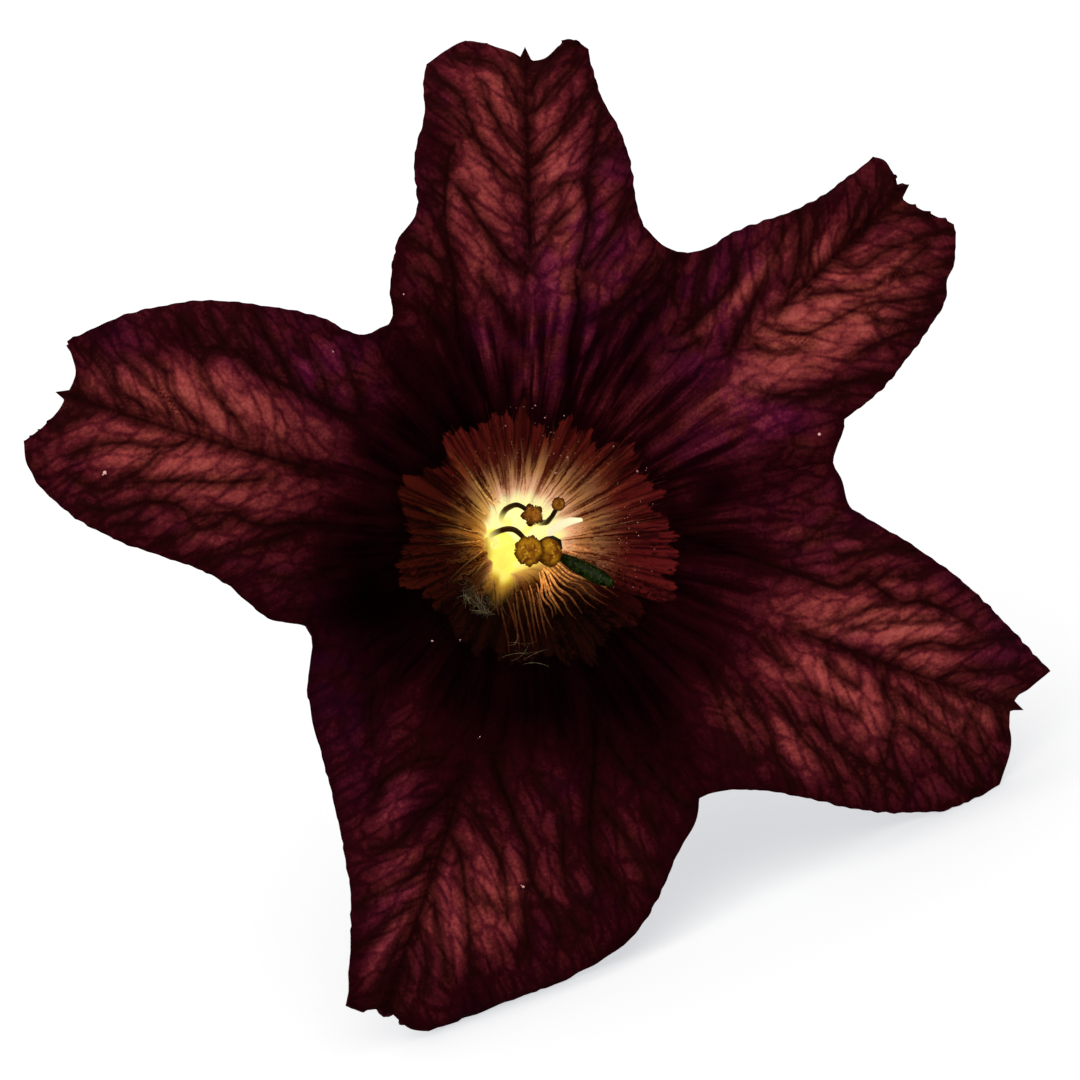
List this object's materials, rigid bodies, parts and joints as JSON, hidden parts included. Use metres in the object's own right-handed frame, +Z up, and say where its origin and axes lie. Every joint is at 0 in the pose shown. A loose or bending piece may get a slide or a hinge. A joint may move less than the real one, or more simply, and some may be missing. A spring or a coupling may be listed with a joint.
{
  "type": "painted tongue flower",
  "caption": "Cut trumpet-shaped bloom with notched, wavy dark lobes, a golden throat with stamens, a green calyx and a short stalk, lying on a surface as decoration.",
  "frame": {"origin": "on the surface that the flower lies on, under the middle of its box", "axes": "+Z up from that surface, the open face of the bloom looks towards -Y and up, the stalk points to +Y"},
  "size_m": [0.0588, 0.0716, 0.0508],
  "materials": {
    "petal": "velvety dark red-brown with near-black veins and a golden throat",
    "calyx_green": "matt hairy green",
    "stalk_green": "matt hairy green",
    "pistil_green": "satin pale green",
    "stigma_green": "moist dark green",
    "pale_rod": "satin cream",
    "filament": "satin dark olive",
    "gold_anther": "grainy golden brown",
    "brown_anther": "grainy brown"
  },
  "bodies": {
    "root": {"corolla": "petal", "calyx": "calyx_green", "pedicel": "stalk_green", "pistil": "pistil_green", "stigma": "stigma_green", "staminode": "pale_rod", "filament_1": "filament", "filament_2": "filament", "filament_3": "filament", "filament_4": "filament", "anther_1": "gold_anther", "anther_2": "gold_anther", "anther_3": "brown_anther", "anther_4": "brown_anther"}
  },
  "joints": []
}
